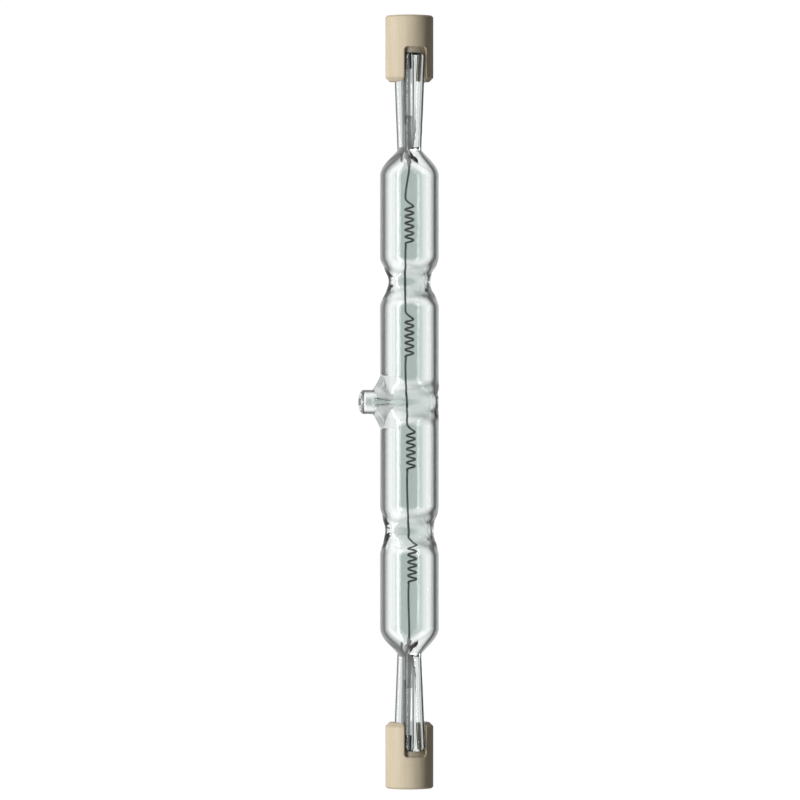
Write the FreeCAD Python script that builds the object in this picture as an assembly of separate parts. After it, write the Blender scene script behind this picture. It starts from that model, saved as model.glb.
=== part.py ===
import FreeCAD, Part
import math
import os

# Double-ended linear halogen lamp, lying as it comes to rest: on its tube and on the sealed exhaust tip.
# Row frame, in millimetres: origin on the front contact's face, +Y along the lamp to the rear end, +Z up.
# The solids are drawn in the lamp's own frame first: z along the lamp with 0 at the middle, x out through
# the exhaust tip, y across the width of the pressed seals.

os.makedirs("parts", exist_ok=True)

Vector = FreeCAD.Vector

# Ends
contact_distance = 114.2      # between the two contact faces
contact_recess = 1.7          # from a cap's end face down to its contact face
cap_diameter = 7.3
cap_length = 10.05
cap_end_bevel = 0.25
cap_mouth_bevel = 0.6
slot_depth = 5.2
slot_corner_round = 0.5
slot_mouth_round = 0.3
recess_diameter = 3.8
contact_diameter = 3.2
contact_thickness = 0.5

# Quartz envelope
tube_diameter = 9.0
tube_wall = 1.0
shoulder_length = 4.4
cavity_end_length = 3.6
shoulder_fullness = 0.6       # 1 is a plain cosine, less is a fuller shoulder
neck_reach = 4.0              # from the middle of a neck to the full tube
neck_throat = 0.5             # half gap left for the filament
neck_squeezed = 2.3           # outer half width where a neck is squeezed
rear_neck_offset = 1.1        # how much farther from the middle it is than one coil spacing
rear_neck_half_width = 3.25
middle_neck_half_width = 4.6
front_neck_offset = 2.4
front_neck_half_width = 3.8
neck_wall = 1.25              # at the sides of a neck, where the glass has gathered

# Pressed seals
seal_length = 14.25           # from the shoulder to the seal's end
seal_thickness = 3.3          # over the beads, at the cap
seal_thickness_inner = 2.7    # over the beads, at the shoulder
seal_width = 7.0              # at the cap
seal_width_inner = 5.2        # at the shoulder
bead_diameter = 1.5
web_thickness = 1.6
edge_groove_depth = 0.35      # between the two beads of a narrow edge
bead_start = 1.2              # how far a bead starts before the shoulder's end

# Exhaust tip
tip_reach = 7.7               # from the lamp's axis to the tip's end
tip_diameter = 3.7
tip_end_round = 0.5
tip_channel_diameter = 1.1
tip_end_wall = 1.5
flare_reach_along = 4.5
flare_reach_across = 1.9
flare_root_at = 2.5           # from the lamp's axis, well inside the tube's wall
flare_start = 4.4
flare_end = 6.0
flare_curve = 1.6

# Seal metal
foil_width = 2.4
foil_length = 9.7
foil_thickness = 0.06
foil_inset = 1.05             # from the seal's outer end
inner_lead_diameter = 0.5
outer_lead_diameter = 0.6
lead_overlap = 1.3            # each lead's length on its foil
lead_in_chamber = 1.6         # bare inner lead inside the end chamber

# Filament
strand_diameter = 0.3
coil_diameter = 1.55
coil_length = 5.7
coil_turns = 5.5
coil_shift = 1.12             # middle of the four coils, measured from the lamp's middle
coil_drift = (0.0, 0.0, -0.25, -0.46)   # each coil's place off the lamp's axis, rear to front
bend_length = 1.3             # where a leg turns into its coil
coil_places_per_turn = 8      # how finely a coil is drawn
strand_sides = 6              # flats round the strand

# Fits
slot_clearance = 0.1
lead_clearance = 0.1
contact_clearance = 0.05
cement_inset = 0.6            # from the cap's outside
cement_thickness = 0.9        # between the seal's end and the slot's bottom

# How finely the blown forms are drawn
neck_bands = 6
inner_neck_bands = 6
shoulder_bands = 4
cavity_end_bands = 4
cavity_sides = 20
flare_bands = 3

# Worked out from the above
overall_half = contact_distance / 2 + contact_recess
cap_radius = cap_diameter / 2
cap_mouth_at = overall_half - cap_length
slot_bottom_at = cap_mouth_at + slot_depth
slot_width = seal_thickness + 2 * slot_clearance
contact_face_at = overall_half - contact_recess
contact_seat_at = contact_face_at - contact_thickness
seal_end_at = slot_bottom_at - cement_thickness
shoulder_end = seal_end_at - seal_length
shoulder_start = shoulder_end - shoulder_length
coil_spacing = 2 * shoulder_start / len(coil_drift)
cavity_apex_at = shoulder_start + cavity_end_length
tube_radius = tube_diameter / 2
cavity_radius = tube_radius - tube_wall
tip_radius = tip_diameter / 2
foil_outer_at = seal_end_at - foil_inset
foil_inner_at = foil_outer_at - foil_length
lead_tip_at = cavity_apex_at - lead_in_chamber
inner_lead_radius = inner_lead_diameter / 2
outer_lead_radius = outer_lead_diameter / 2
strand_radius = strand_diameter / 2
coil_radius = coil_diameter / 2 - strand_radius
foil_seat = 0.6 * inner_lead_radius     # the leads' flats, where the foil is welded on

# The lamp rests on its tube and on the rounded rim of the exhaust tip, which sets its roll about the axis.
rim_reach = tip_reach - tip_end_round
rim_half = tip_radius - tip_end_round
rim_distance = math.hypot(rim_reach, rim_half)
rest_roll = math.asin((tube_radius - tip_end_round) / rim_distance) - math.atan2(rim_half, rim_reach)

NECKS = (
    (coil_spacing + rear_neck_offset, rear_neck_half_width),
    (0.0, middle_neck_half_width),
    (-coil_spacing - front_neck_offset, front_neck_half_width),
)

SEAL_ENDS = (
    (seal_thickness_inner, seal_width_inner, shoulder_end),
    (seal_thickness, seal_width, seal_end_at),
)


def smooth_step(share):
    """1 at share 0, falling smoothly to 0 at share 1."""
    return (1 + math.cos(math.pi * share)) / 2


def ellipse_section(half_x, half_y, at):
    """An exact ellipse across the lamp."""
    matrix = FreeCAD.Matrix()
    matrix.scale(half_x, half_y, 1.0)
    matrix.move(Vector(0, 0, at))
    return Part.Wire(Part.makeCircle(1.0)).transformGeometry(matrix)


def flat_sided_ring(half_x, half_y, at):
    """The corners of an ellipse across the lamp that is drawn with flat sides."""
    corners = []
    for i in range(cavity_sides):
        angle = 2 * math.pi * i / cavity_sides
        corners.append(Vector(half_x * math.cos(angle), half_y * math.sin(angle), at))
    return corners


def flat_face(corners):
    """The flat face with the given corners."""
    return Part.Face(Part.makePolygon(corners + corners[:1]))


def skin_through(sections):
    """The faces between neighbouring sections."""
    return Part.makeLoft(sections, False, True).Faces


def neck_sizes(radius, half_x, half_y, at, bands):
    """The half widths along one squeezed neck, from full tube to full tube, and the place of each."""
    sizes = []
    for i in range(bands + 1):
        offset = neck_reach * (2 * i / bands - 1)
        squeeze = smooth_step(abs(offset) / neck_reach)
        x = radius + (half_x - radius) * squeeze
        y = radius + (half_y - radius) * squeeze
        sizes.append((x, y, at + offset))
    return sizes


def straight_skin(radius, start, end):
    """The skin of a straight run of tube."""
    return Part.makeCylinder(radius, end - start, Vector(0, 0, start)).Faces[:1]


def tube_skin():
    """The skin of the tube between the shoulders, with its necks."""
    faces = []
    start = -shoulder_start
    for at, half_width in sorted(NECKS):
        sizes = neck_sizes(tube_radius, half_width, neck_squeezed, at, neck_bands)
        faces += straight_skin(tube_radius, start, at - neck_reach)
        faces += skin_through([ellipse_section(*size) for size in sizes])
        start = at + neck_reach
    return faces + straight_skin(tube_radius, start, shoulder_start)


def solid_from(faces):
    """The solid inside a closed skin of faces that share their edges."""
    skin = Part.makeCompound(faces)
    skin.sewShape()
    solid = Part.makeSolid(skin.Shells[0])
    if solid.Volume < 0:
        solid.reverse()
    return solid


def shoulder_skin():
    """The skin of the rear shoulder, which narrows to an oval as large as the seal's start."""
    sections = []
    for i in range(shoulder_bands + 1):
        share = i / shoulder_bands
        fullness = smooth_step(share) ** shoulder_fullness
        x = seal_thickness_inner / 2 + (tube_radius - seal_thickness_inner / 2) * fullness
        y = seal_width_inner / 2 + (tube_radius - seal_width_inner / 2) * fullness
        sections.append(ellipse_section(x, y, shoulder_start + share * shoulder_length))
    return skin_through(sections) + [Part.Face(sections[-1])]


def bead(side_x, side_y):
    """One of the rear seal's four corner beads: a slim rod that leans outwards."""
    radius = bead_diameter / 2
    ends = []
    for thickness, width, at in SEAL_ENDS:
        ends.append(Vector(side_x * (thickness / 2 - radius), side_y * (width / 2 - radius), at))
    inner, outer = ends
    way = outer - inner
    lean = math.hypot(way.x, way.y) / way.z
    start = inner - way * (bead_start / seal_length)
    return Part.makeCylinder(radius, start.distanceToPoint(outer) - radius * lean, start, way)


def web():
    """The rear seal's flat web between the beads, which holds the foil."""
    corners = []
    for side, ends in ((1, SEAL_ENDS), (-1, SEAL_ENDS[::-1])):
        for _, width, at in ends:
            corners.append(Vector(-web_thickness / 2, side * (width / 2 - edge_groove_depth), at))
    return flat_face(corners).extrude(Vector(web_thickness, 0, 0))


def seal():
    """The pieces that the rear pressed seal is joined from: four beads and the web between them."""
    return [bead(x, y) for x in (1, -1) for y in (1, -1)] + [web()]


def flare():
    """The foot of the exhaust tip, drawn out of the tube's side in a smooth flare."""
    sections = [ellipse_section(flare_reach_along, flare_reach_across, flare_root_at)]
    for i in range(flare_bands + 1):
        share = i / flare_bands
        spread = (1 - share) ** flare_curve
        y = tip_radius + (flare_reach_across - tip_radius) * spread
        z = tip_radius + (flare_reach_along - tip_radius) * spread
        sections.append(ellipse_section(z, y, flare_start + share * (flare_end - flare_start)))
    solid = Part.makeLoft(sections, True, True)
    solid.rotate(Vector(0, 0, 0), Vector(0, 1, 0), 90)
    return solid


def exhaust_tip():
    """The sealed stub of the exhaust tube, with a rounded rim, and its flare."""
    outline = [Vector(0, 0, tube_radius / 2), Vector(tip_radius, 0, tube_radius / 2)]
    for degrees in (0, 30, 60, 90):
        turn = math.radians(degrees)
        out = tip_radius - tip_end_round * (1 - math.cos(turn))
        outline.append(Vector(out, 0, tip_reach - tip_end_round * (1 - math.sin(turn))))
    outline.append(Vector(0, 0, tip_reach))
    stub = turned(outline)
    stub.rotate(Vector(0, 0, 0), Vector(0, 1, 0), 90)
    return [stub, flare()]


def gas_space():
    """The room inside the envelope, from one inner lead to the other."""
    rear_end = []
    for i in range(cavity_end_bands + 1):
        share = i / cavity_end_bands
        fullness = smooth_step(share) ** shoulder_fullness
        radius = inner_lead_radius + (cavity_radius - inner_lead_radius) * fullness
        rear_end.append((radius, radius, shoulder_start + share * cavity_end_length))
    sizes = [(x, y, -at) for x, y, at in reversed(rear_end)]
    for at, half_width in sorted(NECKS):
        inner_half_width = min(half_width - neck_wall, cavity_radius)
        sizes += neck_sizes(cavity_radius, inner_half_width, neck_throat, at, inner_neck_bands)
    rings = [flat_sided_ring(*size) for size in sizes + rear_end]
    faces = [flat_face(rings[0]), flat_face(rings[-1])]
    for ring, following in zip(rings, rings[1:]):
        for i in range(cavity_sides):
            faces.append(flat_face([ring[i - 1], ring[i], following[i]]))
            faces.append(flat_face([ring[i - 1], following[i], following[i - 1]]))
    return solid_from(faces)


def to_front(shape):
    """The same piece turned end for end about the exhaust tip's axis."""
    turned = shape.copy()
    turned.rotate(Vector(0, 0, 0), Vector(1, 0, 0), 180)
    return turned


def envelope(seal_metal):
    """The whole quartz envelope, hollow, with the seal metal's room cut out of it."""
    skin = tube_skin()
    for face in shoulder_skin():
        skin += [face, to_front(face)]
    pieces = exhaust_tip()
    for piece in seal():
        pieces += [piece, to_front(piece)]
    channel_length = tip_reach - tip_end_wall
    channel = Part.makeCylinder(tip_channel_diameter / 2, channel_length, Vector(0, 0, 0), Vector(1, 0, 0))
    glass = solid_from(skin).multiFuse(pieces)
    return glass.cut([gas_space(), channel] + seal_metal)


def foil():
    """The rear foil, welded to the flats of the two leads."""
    corner = Vector(-foil_seat - foil_thickness, -foil_width / 2, foil_inner_at)
    return Part.makeBox(foil_thickness, foil_width, foil_length, corner)


def flatten(lead, start, end):
    """Cuts the weld flat on the foil's side of a lead, from start to end."""
    size = inner_lead_diameter + outer_lead_diameter
    corner = Vector(-foil_seat - size, -size / 2, start)
    return lead.cut(Part.makeBox(size, size, end - start, corner))


def inner_lead():
    """The rear inner lead, from the foil into the end chamber."""
    end = foil_inner_at + lead_overlap
    rod = Part.makeCylinder(inner_lead_radius, end - lead_tip_at, Vector(0, 0, lead_tip_at))
    return flatten(rod, foil_inner_at, end)


def outer_lead():
    """The rear outer lead, from the foil through the cement and the cap to the contact."""
    start = foil_outer_at - lead_overlap
    rod = Part.makeCylinder(outer_lead_radius, contact_seat_at - start, Vector(0, 0, start))
    return flatten(rod, start, foil_outer_at)


def contact():
    """The rear contact: a flat button in its seat, with the outer lead welded to its back."""
    return Part.makeCylinder(contact_diameter / 2, contact_thickness, Vector(0, 0, contact_seat_at))


def turned(corners):
    """The solid that the outline through corners sweeps when it turns about the lamp's axis."""
    return flat_face(corners).revolve(Vector(0, 0, 0), Vector(0, 0, 1), 360)


def quarter(centre, radius, start, end):
    """An arc edge in the x-z plane about centre, between two angles in degrees."""
    points = []
    for degrees in (start, (start + end) / 2, end):
        turn = math.radians(degrees)
        points.append(centre + Vector(radius * math.cos(turn), 0, radius * math.sin(turn)))
    return Part.Arc(*points).toShape()


def joined_outline(edges):
    """A closed wire of the given edges in order, with straight lines across the gaps between them."""
    outline = []
    for i, edge in enumerate(edges):
        following = edges[(i + 1) % len(edges)]
        outline.append(edge)
        end = edge.valueAt(edge.LastParameter)
        start = following.valueAt(following.FirstParameter)
        if end.distanceToPoint(start) > 1e-7:
            outline.append(Part.makeLine(end, start))
    return Part.Wire(outline)


def cap_body():
    """The cap's turned outside, with its end recess, the contact's seat and the hole for the lead."""
    lead_hole = outer_lead_radius + lead_clearance
    recess = recess_diameter / 2
    seat = contact_diameter / 2 + contact_clearance
    return turned([
        Vector(lead_hole, 0, cap_mouth_at),
        Vector(cap_radius - cap_mouth_bevel, 0, cap_mouth_at),
        Vector(cap_radius, 0, cap_mouth_at + cap_mouth_bevel),
        Vector(cap_radius, 0, overall_half - cap_end_bevel),
        Vector(cap_radius - cap_end_bevel, 0, overall_half),
        Vector(recess, 0, overall_half),
        Vector(recess, 0, contact_face_at),
        Vector(seat, 0, contact_face_at),
        Vector(seat, 0, contact_seat_at),
        Vector(lead_hole, 0, contact_seat_at),
    ])


def slot_cutter():
    """The slot's room: round corners at its bottom, and a rounded mouth."""
    half = slot_width / 2
    low = cap_mouth_at
    mouth_at = low + slot_mouth_round
    mouth_right = quarter(Vector(half + slot_mouth_round, 0, mouth_at), slot_mouth_round, -90, -180)
    mouth_left = quarter(Vector(-half - slot_mouth_round, 0, mouth_at), slot_mouth_round, 0, -90)
    top = slot_bottom_at - slot_corner_round
    corner_right = quarter(Vector(half - slot_corner_round, 0, top), slot_corner_round, 0, 90)
    corner_left = quarter(Vector(-half + slot_corner_round, 0, top), slot_corner_round, 90, 180)
    wide = half + slot_mouth_round
    below_left = Part.makeLine(Vector(-wide, 0, low), Vector(-wide, 0, low - 1))
    below_right = Part.makeLine(Vector(wide, 0, low - 1), Vector(wide, 0, low))
    outline = joined_outline([mouth_right, corner_right, corner_left, mouth_left, below_left, below_right])
    face = Part.Face(outline)
    face.translate(Vector(0, -cap_diameter, 0))
    return face.extrude(Vector(0, 2 * cap_diameter, 0))


def cement():
    """The cement that fills the rear slot's bottom, from the seal's end on."""
    plug = Part.makeCylinder(cap_radius - cement_inset, cement_thickness, Vector(0, 0, seal_end_at))
    lead_room = Part.makeCylinder(outer_lead_radius, cement_thickness, Vector(0, 0, seal_end_at))
    return plug.common(slot_cutter()).cut(lead_room)


def strand_section(point, direction, seam):
    """The strand's flat-sided section at a place on its way, with a corner on the seam's side."""
    first = (seam - direction * seam.dot(direction)).normalize()
    second = direction.cross(first)
    corners = []
    for k in range(strand_sides):
        angle = 2 * math.pi * k / strand_sides
        corners.append(point + (first * math.cos(angle) + second * math.sin(angle)) * strand_radius)
    return Part.makePolygon(corners + corners[:1])


def coil_place(centre_x, top_at, share):
    """A place on a coil, share 0 at its rear end and 1 at its front end."""
    turn = 2 * math.pi * coil_turns
    angle = math.pi + turn * share
    outward = Vector(math.cos(angle), math.sin(angle), 0)
    sideways = Vector(-math.sin(angle), math.cos(angle), 0)
    point = Vector(centre_x, 0, top_at - coil_length * share) + outward * coil_radius
    direction = sideways * (coil_radius * turn) - Vector(0, 0, coil_length)
    roll = math.pi * share
    seam = outward * math.cos(roll) + sideways.cross(outward) * math.sin(roll)
    return point, direction.normalize(), seam


def coil_places(centre_x, top_at):
    """All the places along one coil."""
    count = int(round(coil_turns * coil_places_per_turn))
    return [coil_place(centre_x, top_at, i / count) for i in range(count + 1)]


def run_places(start, start_direction, end, end_direction, pull, count):
    """Places along a smooth run between two points in the given directions, without its end."""
    curve = Part.BezierCurve()
    curve.setPoles([start, start + start_direction * pull, end - end_direction * pull, end])
    seam = Vector(-1, 0, 0)
    places = []
    for i in range(count):
        direction = curve.tangent(i / count)[0]
        places.append((curve.value(i / count), direction, seam))
    return places


def filament():
    """The whole strand: four coils, with legs between them and to the inner leads."""
    forward = Vector(0, 0, -1)
    start = Vector(0, 0, lead_tip_at)
    places = []
    for i, centre_x in enumerate(coil_drift):
        centre_at = coil_shift + (1.5 - i) * coil_spacing
        top_at = centre_at + coil_length / 2
        leg_x = centre_x + coil_radius
        leg_end = Vector(leg_x, 0, top_at + bend_length)
        coil = coil_places(centre_x, top_at)
        first, first_direction, _ = coil[0]
        last, last_direction, _ = coil[-1]
        places += run_places(start, forward, leg_end, forward, start.distanceToPoint(leg_end) / 3, 4)
        places += run_places(leg_end, forward, first, first_direction, bend_length / 2, 4)
        places += coil[:-1]
        start = Vector(leg_x, 0, top_at - coil_length - bend_length)
        places += run_places(last, last_direction, start, forward, bend_length / 3, 4)
    tip = Vector(0, 0, -lead_tip_at)
    places += run_places(start, forward, tip, forward, start.distanceToPoint(tip) / 3, 4)
    places.append((tip, forward, Vector(-1, 0, 0)))
    return Part.makeLoft([strand_section(*place) for place in places], True, True)


def save(shape, node):
    """Lays a piece in the row frame, as the lamp rests, and writes it."""
    tip_side = Vector(-math.cos(rest_roll), 0, -math.sin(rest_roll))
    width_side = Vector(-math.sin(rest_roll), 0, math.cos(rest_roll))
    along = Vector(0, 1, 0)
    turn = FreeCAD.Rotation(tip_side, width_side, along, "ZXY")
    place = FreeCAD.Placement(Vector(0, contact_face_at, 0), turn)
    placed = shape.copy()
    placed.Placement = place.multiply(placed.Placement)
    placed.exportStep("parts/" + node + ".step")
    print(node, "valid", placed.isValid(), "solids", len(placed.Solids), "volume", round(placed.Volume, 3))


rear_pieces = {
    "inner_lead": inner_lead(),
    "foil": foil(),
    "outer_lead": outer_lead(),
    "contact": contact(),
    "ceramic_cap": cap_body().cut(slot_cutter()),
    "cement": cement(),
}
metal = [rear_pieces[name] for name in ("inner_lead", "foil", "outer_lead")]

save(envelope(metal + [to_front(piece) for piece in metal]), "quartz_envelope")
save(filament(), "filament")
for name, shape in rear_pieces.items():
    save(shape, name + "_rear")
    save(to_front(shape), name + "_front")
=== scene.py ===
import math

import bpy
import numpy as np
from mathutils import Matrix, Vector


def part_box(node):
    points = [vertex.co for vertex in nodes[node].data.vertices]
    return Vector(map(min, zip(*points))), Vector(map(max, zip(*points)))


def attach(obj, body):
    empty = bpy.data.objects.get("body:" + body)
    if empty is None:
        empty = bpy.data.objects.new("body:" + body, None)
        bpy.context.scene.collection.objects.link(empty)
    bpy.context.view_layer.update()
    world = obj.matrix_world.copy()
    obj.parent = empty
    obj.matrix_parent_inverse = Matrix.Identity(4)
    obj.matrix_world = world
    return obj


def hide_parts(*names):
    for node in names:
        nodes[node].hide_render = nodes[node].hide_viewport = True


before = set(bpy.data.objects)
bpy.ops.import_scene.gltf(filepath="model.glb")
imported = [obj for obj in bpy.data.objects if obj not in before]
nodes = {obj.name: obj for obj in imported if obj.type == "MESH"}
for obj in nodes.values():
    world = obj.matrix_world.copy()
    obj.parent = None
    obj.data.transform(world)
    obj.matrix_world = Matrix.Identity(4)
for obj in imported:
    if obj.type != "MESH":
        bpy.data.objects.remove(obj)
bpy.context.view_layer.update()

MM = 0.001

# The lamp's sizes in millimetres. Its own frame has z along the lamp with 0 at the middle, x out through the
# exhaust tip and y across the width of the pressed seals.
tube_radius = 4.5
tube_wall = 1.0
cavity_radius = tube_radius - tube_wall
straight_half = 34.4
shoulder_length = 4.4
shoulder_end = straight_half + shoulder_length
shoulder_fullness = 0.6
cavity_end_length = 3.6
neck_reach = 4.0
neck_throat = 0.5
neck_squeezed = 2.3
neck_wall = 1.25
neck_wave = 0.06
neck_wave_gain = 2.6
# Each set of waves: how many round the neck, their turn a millimetre, and their turn with the neck's place
neck_waves = ((5, 2.3, 1), (3, -3.1, 0))
# Each neck's place along the lamp and its half width
necks = ((-19.6, 3.8), (0.0, 4.6), (18.3, 3.25))
seal_end_at = 53.05
# Thickness, width and place of a seal at its two ends
seal_ends = ((2.7, 5.2, shoulder_end), (3.3, 7.0, seal_end_at))
bead_radius = 0.75
bead_end_round = 0.6
bead_start = 1.2
web_thickness = 1.6
edge_groove_depth = 0.35
tip_radius = 1.85
tip_reach = 7.7
tip_end_round = 0.5
tip_channel_radius = 0.55
tip_end_wall = 1.5
channel_point = 0.02
foot_reach_along = 4.5
foot_reach_across = 1.9
foot_root_at = 2.5
foot_start = 4.4
foot_end = 6.0
foot_curve = 1.6
foot_inset = 0.002
lead_radius = 0.25
lead_in_chamber = 1.6
strand_radius = 0.15
ridge_height = 0.022
ridge_pitch = 0.13
coil_radius = 0.625
coil_length = 5.7
coil_turns = 5.5
coil_spacing = 17.2
coil_shift = 1.12
coil_drift = (0.0, 0.0, -0.25, -0.46)
bend_length = 1.3

# The lamp rests on its tube and on the rim of its exhaust tip, which sets how far it is rolled.
rim_reach = tip_reach - tip_end_round
rim_half = tip_radius - tip_end_round
rim_distance = math.hypot(rim_reach, rim_half)
rest_roll = math.asin((tube_radius - tip_end_round) / rim_distance) - math.atan2(rim_half, rim_reach)

low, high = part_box("quartz_envelope")
middle_at = (low.y + high.y) / 2
floor_at = low.z


def lamp_place():
    """The matrix from the lamp's own frame, in metres, to the row frame."""
    c, s = math.cos(rest_roll), math.sin(rest_roll)
    return Matrix((
        (-c, -s, 0, 0),
        (0, 0, 1, middle_at),
        (-s, c, 0, 0),
        (0, 0, 0, 1),
    ))


def smooth_step(share):
    """1 at share 0, falling smoothly to 0 at share 1."""
    return (1 + math.cos(math.pi * share)) / 2


def new_object(name, points, faces):
    """A mesh object from points in the lamp's frame, in millimetres."""
    mesh = bpy.data.meshes.new(name)
    place = np.array(lamp_place())
    world = np.asarray(points, float) * MM @ place[:3, :3].T + place[:3, 3]
    mesh.from_pydata(world.tolist(), [], faces)
    mesh.update()
    made = bpy.data.objects.new(name, mesh)
    bpy.context.scene.collection.objects.link(made)
    return made


def stacked(name, rings):
    """A closed mesh through a stack of rings with the same number of points, with flat lids."""
    count = len(rings[0])
    points = np.concatenate(rings)
    faces = [tuple(range(count))[::-1]]
    for i in range(len(rings) - 1):
        row = i * count
        for j in range(count):
            k = (j + 1) % count
            faces.append((row + j, row + k, row + count + k, row + count + j))
    last = (len(rings) - 1) * count
    faces.append(tuple(range(last, last + count)))
    return new_object(name, points, faces)


def ellipse(half_x, half_y, at, count=128):
    """A ring of points on an ellipse across the lamp."""
    angle = np.linspace(0, 2 * math.pi, count, endpoint=False)
    return np.stack([half_x * np.cos(angle), half_y * np.sin(angle), np.full(count, float(at))], 1)


def neck_rings(radius, half_x, half_y, at, steps=32):
    """The rings along one squeezed neck, with its small waves."""
    rings = []
    for i in range(steps + 1):
        offset = neck_reach * (2 * i / steps - 1)
        squeeze = smooth_step(abs(offset) / neck_reach)
        x = radius + (half_x - radius) * squeeze
        y = radius + (half_y - radius) * squeeze
        ring = ellipse(x, y, at + offset)
        angle = np.linspace(0, 2 * math.pi, len(ring), endpoint=False)
        wave = sum(np.sin(turns * angle + twist * offset + shift * at) for turns, twist, shift in neck_waves)
        share = neck_wave * squeeze * (1 - squeeze * squeeze) * neck_wave_gain * wave / math.hypot(x, y)
        rings.append(ring * np.stack([1 + share, 1 + share, np.ones(len(ring))], 1))
    return rings


def end_rings(radius, half_x, half_y, length, steps=24):
    """The rings along the rear shoulder of a skin, from full tube to its end."""
    rings = []
    for i in range(steps + 1):
        share = i / steps
        fullness = smooth_step(share) ** shoulder_fullness
        x = half_x + (radius - half_x) * fullness
        y = half_y + (radius - half_y) * fullness
        rings.append(ellipse(x, y, straight_half + share * length))
    return rings


def mirrored(rings):
    """The same rings at the lamp's front end."""
    return [ring * (1, 1, -1) for ring in reversed(rings)]


def tube_rings(radius, neck_x, neck_y, rear):
    """The rings of a whole skin of the tube, with its necks and two ends."""
    rings = mirrored(rear)
    for at, half_width in necks:
        rings += neck_rings(radius, neck_x(half_width), neck_y, at)
    return rings + rear


def turned(name, outline, start, direction, count=48):
    """A closed mesh turned from an outline of (radius, height) pairs, on an axis from start."""
    axis = Vector(direction).normalized()
    side = axis.orthogonal().normalized()
    other = axis.cross(side)
    rings = []
    for radius, height in outline:
        ring = []
        for j in range(count):
            angle = 2 * math.pi * j / count
            reach = side * math.cos(angle) + other * math.sin(angle)
            ring.append(Vector(start) + axis * height + reach * radius)
        rings.append(np.array(ring))
    return stacked(name, rings)


def rounded_end(radius, length, end_round, steps=8):
    """The outline of a rod with a round end."""
    outline = [(radius, 0.0)]
    for i in range(steps + 1):
        turn = math.pi / 2 * i / steps
        outline.append((radius - end_round * (1 - math.cos(turn)), length - end_round * (1 - math.sin(turn))))
    return outline


def seal_pieces(end):
    """The four beads and the web of one seal. end is 1 at the rear and -1 at the front."""
    made = []
    for side_x in (1, -1):
        for side_y in (1, -1):
            inner, outer = [
                Vector((side_x * (thick / 2 - bead_radius), side_y * (wide / 2 - bead_radius), end * at))
                for thick, wide, at in seal_ends
            ]
            start = inner - (outer - inner) * (bead_start / (seal_end_at - shoulder_end))
            outline = rounded_end(bead_radius, (outer - start).length, bead_end_round)
            made.append(turned("bead", outline, start, outer - start))
    half = web_thickness / 2
    rings = []
    for _, wide, at in seal_ends:
        edge = wide / 2 - edge_groove_depth
        corners = ((half, -edge), (half, edge), (-half, edge), (-half, -edge))
        rings.append(np.array([(x, y, end * at) for x, y in corners]))
    made.append(stacked("web", rings if end > 0 else rings[::-1]))
    return made


def foot(bands=16, count=96):
    """The foot of the exhaust tip, drawn out of the tube's side in a smooth flare."""
    angle = np.linspace(0, 2 * math.pi, count, endpoint=False)
    sections = [(foot_root_at, 1.0)]
    for i in range(bands + 1):
        share = i / bands
        sections.append((foot_start + share * (foot_end - foot_start), (1 - share) ** foot_curve))
    rings = []
    for at, spread in sections:
        across = tip_radius + (foot_reach_across - tip_radius) * spread - foot_inset
        reach = tip_radius + (foot_reach_along - tip_radius) * spread - foot_inset
        rings.append(np.stack([np.full(count, at), across * np.cos(angle), reach * np.sin(angle)], 1))
    return stacked("foot", rings)


def combined(base, others, operation):
    """base with all the others joined to it or cut out of it, as one mesh."""
    group = bpy.data.collections.new("pieces")
    bpy.context.scene.collection.children.link(group)
    for other in others:
        bpy.context.scene.collection.objects.unlink(other)
        group.objects.link(other)
    step = base.modifiers.new("combine", "BOOLEAN")
    step.operation = operation
    step.solver = "EXACT"
    step.operand_type = "COLLECTION"
    step.collection = group
    result = bpy.data.meshes.new_from_object(base.evaluated_get(bpy.context.evaluated_depsgraph_get()))
    base.modifiers.clear()
    base.data = result
    for other in others:
        bpy.data.objects.remove(other)
    bpy.data.collections.remove(group)
    return base


def soften(thing, sharp_degrees):
    """Smooth shading, with edges sharper than an angle kept."""
    thing.data.shade_smooth()
    thing.data.set_sharp_from_angle(angle=math.radians(sharp_degrees))


def quartz():
    """The whole envelope in fine detail, hollow inside."""
    thick, wide, _ = seal_ends[0]
    rear = end_rings(tube_radius, thick / 2, wide / 2, shoulder_length)
    outside = stacked("quartz", tube_rings(tube_radius, lambda half: half, neck_squeezed, rear))
    stub_start = tube_radius / 2
    outline = rounded_end(tip_radius, tip_reach - stub_start, tip_end_round)
    stub = turned("stub", outline, (stub_start, 0, 0), (1, 0, 0), 96)
    pieces = [stub, foot()] + seal_pieces(1) + seal_pieces(-1)
    glass = combined(outside, pieces, "UNION")
    rear = end_rings(cavity_radius, lead_radius, lead_radius, cavity_end_length)
    rings = tube_rings(cavity_radius, lambda half: min(half - neck_wall, cavity_radius), neck_throat, rear)
    inside = stacked("gas", rings)
    channel_length = tip_reach - tip_end_wall
    outline = rounded_end(tip_channel_radius, channel_length, tip_channel_radius)
    outline[-1] = (channel_point, channel_length)
    channel = turned("channel", outline, (0, 0, 0), (1, 0, 0))
    glass = combined(glass, [combined(inside, [channel], "UNION")], "DIFFERENCE")
    soften(glass, 30)
    return glass


def coil_points(centre_x, top_at, count):
    """Points along one coil of the filament."""
    share = np.linspace(0, 1, count, endpoint=False)
    angle = math.pi + 2 * math.pi * coil_turns * share
    return np.stack([
        centre_x + coil_radius * np.cos(angle),
        coil_radius * np.sin(angle),
        top_at - coil_length * share,
    ], 1)


def run_points(start, start_direction, end, end_direction, pull, count):
    """Points along a smooth run between two points in the given directions, without its end."""
    t = np.linspace(0, 1, count, endpoint=False)[:, None]
    a, d = np.array(start, float), np.array(end, float)
    b = a + np.array(start_direction) * pull
    c = d - np.array(end_direction) * pull
    return (1 - t) ** 3 * a + 3 * (1 - t) ** 2 * t * b + 3 * (1 - t) * t ** 2 * c + t ** 3 * d


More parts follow.
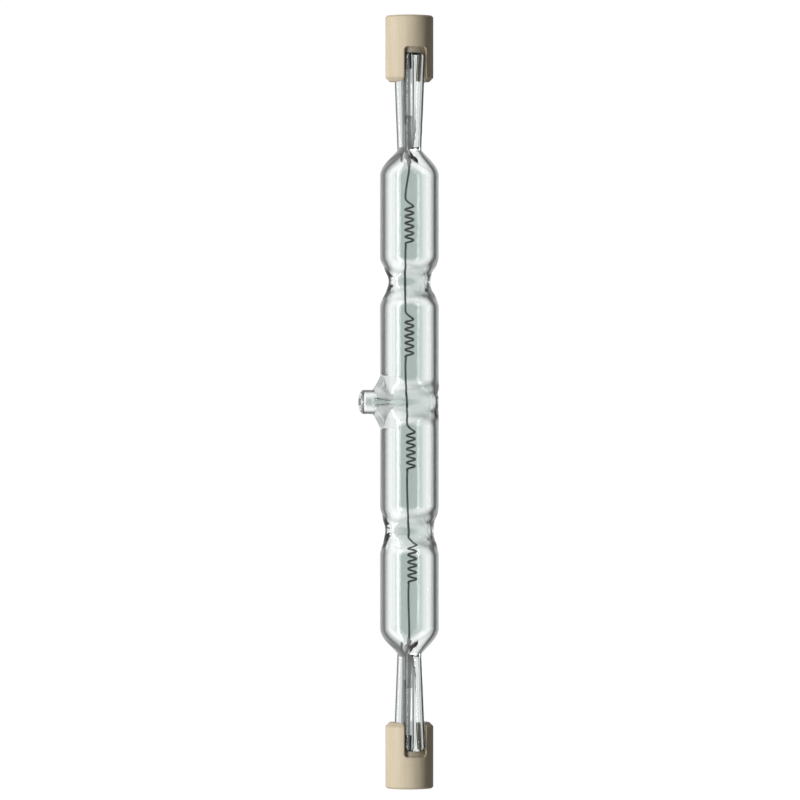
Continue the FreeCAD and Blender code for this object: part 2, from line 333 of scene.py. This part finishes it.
def strand_points():
    """Points all along the filament, from lead to lead."""
    leg_steps, bend_steps, coil_steps = 24, 16, 240
    middle = (len(coil_drift) - 1) / 2
    tip_at = straight_half + cavity_end_length - lead_in_chamber
    forward = (0, 0, -1)
    turn = 2 * math.pi * coil_turns
    start = (0, 0, tip_at)
    runs = []
    for i, centre_x in enumerate(coil_drift):
        top_at = coil_shift + (middle - i) * coil_spacing + coil_length / 2
        leg = (centre_x + coil_radius, 0, top_at + bend_length)
        first = (centre_x - coil_radius, 0, top_at)
        last = (centre_x + coil_radius, 0, top_at - coil_length)
        first_way = np.array((0, -coil_radius * turn, -coil_length))
        last_way = np.array((0, coil_radius * turn, -coil_length))
        first_way /= np.linalg.norm(first_way)
        last_way /= np.linalg.norm(last_way)
        length = math.dist(start, leg)
        runs.append(run_points(start, forward, leg, forward, length / 3, leg_steps))
        runs.append(run_points(leg, forward, first, first_way, bend_length / 2, bend_steps))
        runs.append(coil_points(centre_x, top_at, coil_steps))
        start = (leg[0], 0, last[2] - bend_length)
        runs.append(run_points(last, last_way, start, forward, bend_length / 3, bend_steps))
    tip = (0, 0, -tip_at)
    runs.append(run_points(start, forward, tip, forward, math.dist(start, tip) / 3, leg_steps))
    runs.append(np.array([tip], float))
    return np.concatenate(runs)


def filament():
    """The strand as the fine primary coil that it is, with the winding's ridges on it."""
    rows_per_ridge = 4
    sides = 10
    path = strand_points()
    steps = np.linalg.norm(np.diff(path, axis=0), axis=1)
    along = np.concatenate([[0], np.cumsum(steps)])
    count = int(along[-1] / ridge_pitch * rows_per_ridge)
    places = np.linspace(0, along[-1], count)
    fine = np.stack([np.interp(places, along, path[:, k]) for k in range(3)], 1)
    ways = np.gradient(fine, axis=0)
    ways /= np.linalg.norm(ways, axis=1)[:, None]
    side = np.array((1.0, 0.0, 0.0))
    angles = 2 * math.pi * np.arange(sides) / sides
    rings = []
    for place, point, way in zip(places, fine, ways):
        side = side - way * side.dot(way)
        side /= np.linalg.norm(side)
        other = np.cross(way, side)
        crest = 0.5 + 0.5 * np.cos(2 * math.pi * place / ridge_pitch + angles)
        radius = strand_radius + ridge_height * crest
        reach = np.cos(angles)[:, None] * side + np.sin(angles)[:, None] * other
        rings.append(point + radius[:, None] * reach)
    made = stacked("filament_wire", rings)
    soften(made, 60)
    return made


# Materials


def material(name, colour, roughness, metallic=0.0):
    """A plain Principled material and its nodes."""
    made = bpy.data.materials.new(name)
    made.use_nodes = True
    shader = made.node_tree.nodes["Principled BSDF"]
    shader.inputs["Base Color"].default_value = (*colour, 1)
    shader.inputs["Roughness"].default_value = roughness
    shader.inputs["Metallic"].default_value = metallic
    return made, made.node_tree, shader


def noise(tree, scale, detail, stretch=(1, 1, 1)):
    """A noise texture in the object's own coordinates. scale is in 1 / metre."""
    where = tree.nodes.new("ShaderNodeTexCoord")
    mapping = tree.nodes.new("ShaderNodeMapping")
    mapping.inputs["Scale"].default_value = stretch
    texture = tree.nodes.new("ShaderNodeTexNoise")
    texture.inputs["Scale"].default_value = scale
    texture.inputs["Detail"].default_value = detail
    tree.links.new(where.outputs["Object"], mapping.inputs["Vector"])
    tree.links.new(mapping.outputs["Vector"], texture.inputs["Vector"])
    return texture


def tinted(tree, texture, dark, light, low_at=0.3, high_at=0.7):
    """A colour that runs from dark to light with a texture."""
    ramp = tree.nodes.new("ShaderNodeValToRGB")
    ramp.color_ramp.elements[0].position = low_at
    ramp.color_ramp.elements[0].color = (*dark, 1)
    ramp.color_ramp.elements[1].position = high_at
    ramp.color_ramp.elements[1].color = (*light, 1)
    tree.links.new(texture.outputs["Fac"], ramp.inputs["Fac"])
    return ramp


def bumped(tree, shader, texture, distance, strength=1.0, edge_round=0.0):
    """A bump from a texture, over edges that look rounded."""
    bump = tree.nodes.new("ShaderNodeBump")
    if edge_round:
        bevel = tree.nodes.new("ShaderNodeBevel")
        bevel.inputs["Radius"].default_value = edge_round
        tree.links.new(bevel.outputs["Normal"], bump.inputs["Normal"])
    bump.inputs["Distance"].default_value = distance
    bump.inputs["Strength"].default_value = strength
    tree.links.new(texture.outputs["Fac"], bump.inputs["Height"])
    tree.links.new(bump.outputs["Normal"], shader.inputs["Normal"])


def steatite():
    """Unglazed beige ceramic: fine grain, faint lengthwise streaks."""
    made, tree, shader = material("steatite", (0.70, 0.60, 0.45), 0.62)
    shader.inputs["Specular IOR Level"].default_value = 0.35
    grain = noise(tree, 9000, 3)
    streaks = noise(tree, 900, 4, (1, 0.06, 1))
    base = tinted(tree, streaks, (0.66, 0.56, 0.40), (0.78, 0.68, 0.51))
    specks = tinted(tree, grain, (0.90, 0.89, 0.88), (1.0, 1.0, 1.0), 0.35, 0.6)
    mix = tree.nodes.new("ShaderNodeMix")
    mix.data_type = "RGBA"
    mix.blend_type = "MULTIPLY"
    mix.inputs["Factor"].default_value = 1.0
    tree.links.new(base.outputs["Color"], mix.inputs[6])
    tree.links.new(specks.outputs["Color"], mix.inputs[7])
    tree.links.new(mix.outputs[2], shader.inputs["Base Color"])
    bumped(tree, shader, grain, 0.00004, 0.5, 0.0003)
    return made


def clear_quartz(name, cast_and_painted_light, clarity=1.0):
    """Fused quartz whose colour follows a ramp by how the surface faces the view: painted highlight bands and
    painted shade towards the edges over its grey-green cast, and milky below clarity 1.
    """
    made, tree, shader = material(name, cast_and_painted_light[0][1], 0.0)
    shader.inputs["IOR"].default_value = 1.458
    shader.inputs["Transmission Weight"].default_value = clarity
    edge = tree.nodes.new("ShaderNodeLayerWeight")
    edge.inputs["Blend"].default_value = 0.5
    ramp = tree.nodes.new("ShaderNodeValToRGB")
    elements = ramp.color_ramp.elements
    for place, colour in cast_and_painted_light[2:]:
        elements.new(place)
    for element, (place, colour) in zip(elements, cast_and_painted_light):
        element.position = place
        element.color = (*colour, 1)
    # The ramp by facing paints highlight bands and shade into the glass colour.
    tree.links.new(edge.outputs["Facing"], ramp.inputs["Fac"])
    tree.links.new(ramp.outputs["Color"], shader.inputs["Base Color"])
    waves = noise(tree, 160, 1)
    bumped(tree, shader, waves, 0.00003, 0.25)
    return made


def mark_glass(glass):
    """Gives the other materials to the cavity's faces, the seals and the tip's foot."""
    cavity, seal, foot_skin = 1, 2, 3
    seal_starts = shoulder_end - 0.3
    foot_starts = 3.0
    foot_ends = foot_reach_along + 0.3
    inverse = lamp_place().inverted()
    for face in glass.data.polygons:
        spot = inverse @ face.center / MM
        way = inverse.to_3x3() @ face.normal
        inward = spot.x * way.x + spot.y * way.y < 0 and abs(spot.z) < straight_half + cavity_end_length
        from_tip = math.hypot(spot.y, spot.z)
        in_channel = spot.x > cavity_radius / 2 and from_tip < 1.1 * tip_channel_radius
        if inward or in_channel:
            face.material_index = cavity
        elif spot.x > foot_starts and from_tip > 1.03 * tip_radius and abs(spot.z) < foot_ends:
            face.material_index = foot_skin
        elif abs(spot.z) > seal_starts:
            face.material_index = seal


def metal(name, dark, light, roughness, scale=4000):
    """Drawn or rolled metal with a fine uneven tone."""
    made, tree, shader = material(name, light, roughness, 1.0)
    texture = noise(tree, scale, 3, (1, 0.2, 1))
    tone = tinted(tree, texture, dark, light)
    tree.links.new(tone.outputs["Color"], shader.inputs["Base Color"])
    return made


def matt_cement():
    """Grey-white lamp cement, matt and coarse."""
    made, tree, shader = material("matt_cement", (0.56, 0.50, 0.39), 0.9)
    texture = noise(tree, 3500, 5)
    tone = tinted(tree, texture, (0.46, 0.41, 0.32), (0.64, 0.57, 0.45))
    tree.links.new(tone.outputs["Color"], shader.inputs["Base Color"])
    bumped(tree, shader, texture, 0.0001)
    return made


# The glass's colours, from where it is seen face on to where it is seen edge on. For the tube: a grey-green
# cast deepened as painted shade face on, a painted highlight band from 0.11 to 0.2, and painted dark shade
# towards the edges.
tube_cast_and_painted_light = (
    (0.0, (0.43, 0.50, 0.475)),
    (0.035, (0.44, 0.51, 0.485)),
    (0.11, (0.95, 0.98, 0.97)),
    (0.2, (0.95, 0.98, 0.97)),
    (0.32, (0.55, 0.58, 0.57)),
    (0.37, (0.33, 0.35, 0.34)),
    (0.42, (0.07, 0.075, 0.07)),
    (0.46, (0.013, 0.015, 0.013)),
    (0.53, (0.02, 0.023, 0.02)),
    (0.66, (0.06, 0.065, 0.06)),
    (0.85, (0.19, 0.20, 0.195)),
    (1.0, (0.32, 0.34, 0.33)),
)
# Seals: a pale colour face on, a painted highlight band near 0.1 and painted dark shade towards the edges.
seal_cast_and_painted_light = (
    (0.0, (0.72, 0.76, 0.75)),
    (0.10, (0.90, 0.93, 0.92)),
    (0.22, (0.60, 0.63, 0.62)),
    (0.34, (0.06, 0.065, 0.06)),
    (0.60, (0.015, 0.017, 0.015)),
    (0.80, (0.12, 0.13, 0.12)),
    (1.0, (0.6, 0.62, 0.61)),
)
# Cavity wall: clear face on, with painted dark shade where seen edge on.
cavity_painted_shade = (
    (0.0, (0.97, 0.98, 0.98)),
    (0.6, (0.97, 0.98, 0.98)),
    (0.85, (0.30, 0.32, 0.31)),
    (1.0, (0.05, 0.055, 0.05)),
)
# Tip foot: a milky pale colour face on, with painted dark shade where seen edge on.
foot_painted_shade = (
    (0.0, (0.80, 0.84, 0.83)),
    (0.7, (0.84, 0.88, 0.87)),
    (0.9, (0.50, 0.52, 0.51)),
    (1.0, (0.20, 0.21, 0.20)),
)


def dress():
    """Gives every piece its material and puts the fine glass and filament in place."""
    ceramic = steatite()
    cement = matt_cement()
    molybdenum = metal("molybdenum", (0.20, 0.20, 0.21), (0.34, 0.34, 0.35), 0.38)
    foil = metal("foil", (0.34, 0.35, 0.36), (0.46, 0.47, 0.48), 0.45)
    plated = metal("plated", (0.50, 0.49, 0.46), (0.68, 0.67, 0.64), 0.3)
    tungsten = metal("tungsten", (0.06, 0.065, 0.065), (0.14, 0.15, 0.15), 0.4, 9000)
    glasses = (
        clear_quartz("clear_quartz", tube_cast_and_painted_light),
        clear_quartz("cavity_wall", cavity_painted_shade),
        clear_quartz("pressed_quartz", seal_cast_and_painted_light),
        clear_quartz("tip_foot_quartz", foot_painted_shade, 0.45),
    )
    by_name = {
        "quartz_envelope": glasses[0],
        "filament": tungsten,
        "inner_lead": molybdenum,
        "outer_lead": molybdenum,
        "foil": foil,
        "cement": cement,
        "ceramic_cap": ceramic,
        "contact": plated,
    }
    for name, node in nodes.items():
        kind = name.replace("_rear", "").replace("_front", "")
        node.data.materials.clear()
        node.data.materials.append(by_name[kind])
    fine_glass = quartz()
    fine_glass.data.materials.clear()
    for glass in glasses:
        fine_glass.data.materials.append(glass)
    mark_glass(fine_glass)
    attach(fine_glass, "root")
    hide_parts("quartz_envelope")
    wire = filament()
    wire.data.materials.append(tungsten)
    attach(wire, "root")
    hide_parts("filament")


# Floor, light and camera


def larger(tree, first, second):
    """The larger one of two values, as a value of its own."""
    both = tree.nodes.new("ShaderNodeMath")
    both.operation = "MAXIMUM"
    tree.links.new(first, both.inputs[0])
    tree.links.new(second, both.inputs[1])
    return both.outputs[0]


def floor():
    """A plain white floor that keeps the lamp's soft shadow."""
    size = 3.0
    white = 0.82
    glow_strength = 1.13
    glow_share = 0.88
    mesh = bpy.data.meshes.new("floor")
    corners = ((-size, -size), (size, -size), (size, size), (-size, size))
    mesh.from_pydata([(x, y, floor_at) for x, y in corners], [], [(0, 1, 2, 3)])
    made = bpy.data.objects.new("floor", mesh)
    bpy.context.scene.collection.objects.link(made)
    paint = bpy.data.materials.new("floor")
    paint.use_nodes = True
    tree = paint.node_tree
    tree.nodes.clear()
    output = tree.nodes.new("ShaderNodeOutputMaterial")
    matt = tree.nodes.new("ShaderNodeBsdfDiffuse")
    matt.inputs["Color"].default_value = (white, white, white, 1)
    glow = tree.nodes.new("ShaderNodeEmission")
    glow.inputs["Color"].default_value = (1, 1, 1, 1)
    glow.inputs["Strength"].default_value = glow_strength
    rays = tree.nodes.new("ShaderNodeLightPath")
    seen = larger(tree, rays.outputs["Is Camera Ray"], rays.outputs["Is Glossy Ray"])
    seen = larger(tree, seen, rays.outputs["Is Transmission Ray"])
    share = tree.nodes.new("ShaderNodeMath")
    share.operation = "MULTIPLY"
    share.inputs[1].default_value = glow_share
    tree.links.new(seen, share.inputs[0])
    mix = tree.nodes.new("ShaderNodeMixShader")
    tree.links.new(share.outputs[0], mix.inputs["Fac"])
    tree.links.new(matt.outputs[0], mix.inputs[1])
    tree.links.new(glow.outputs[0], mix.inputs[2])
    tree.links.new(mix.outputs[0], output.inputs["Surface"])
    mesh.materials.append(paint)


camera_roll = math.radians(17)
view_tilt = rest_roll + camera_roll
back = Vector((-math.sin(view_tilt), 0, math.cos(view_tilt)))
right = Vector((math.cos(view_tilt), 0, math.sin(view_tilt)))
along = Vector((0, 1, 0))
aim = Vector((0, middle_at, 0))


def soft_light(name, turn_degrees, distance, width, height, strength):
    """An area light that runs along the lamp. Its turn is measured to the right of the camera."""
    data = bpy.data.lights.new(name, "AREA")
    data.shape = "RECTANGLE"
    data.size = width
    data.size_y = height
    data.energy = strength
    made = bpy.data.objects.new(name, data)
    turn = math.radians(turn_degrees)
    way = back * math.cos(turn) + right * math.sin(turn)
    place = Matrix((along.cross(way), along, way)).transposed().to_4x4()
    place.translation = aim + way * distance
    made.matrix_world = place
    bpy.context.scene.collection.objects.link(made)


def lights():
    """A long key light, low at the left, and the soft light of the room."""
    room = 0.14
    soft_light("key", turn_degrees=-45.5, distance=0.45, width=0.08, height=1.4, strength=3.7)
    world = bpy.data.worlds.new("world")
    world.use_nodes = True
    bpy.context.scene.world = world
    tree = world.node_tree
    backdrop = tree.nodes["Background"]
    rays = tree.nodes.new("ShaderNodeLightPath")
    pick = tree.nodes.new("ShaderNodeMix")
    pick.data_type = "RGBA"
    pick.inputs[6].default_value = (room, room, room, 1)
    pick.inputs[7].default_value = (1, 1, 1, 1)
    seen = larger(tree, rays.outputs["Is Camera Ray"], rays.outputs["Is Transmission Ray"])
    tree.links.new(seen, pick.inputs["Factor"])
    tree.links.new(pick.outputs[2], backdrop.inputs["Color"])


def camera():
    """The camera at the photograph's viewing angle: straight on, with the lamp upright in the picture."""
    data = bpy.data.cameras.new("camera")
    sensor = 36
    distance = 0.9
    picture_height = 121.84 * MM
    left_of_aim = 1.43 * MM
    above_aim = 0.3 * MM
    data.sensor_width = sensor
    data.lens = sensor * distance / picture_height
    data.clip_start = 0.01
    data.clip_end = 10
    made = bpy.data.objects.new("camera", data)
    bpy.context.scene.collection.objects.link(made)
    centre = aim - right * left_of_aim + along * above_aim
    place = Matrix((right, along, back)).transposed().to_4x4()
    place.translation = centre + back * distance
    made.matrix_world = place
    bpy.context.scene.camera = made


dress()
floor()
lights()
camera()
bpy.context.scene.view_settings.view_transform = "Standard"
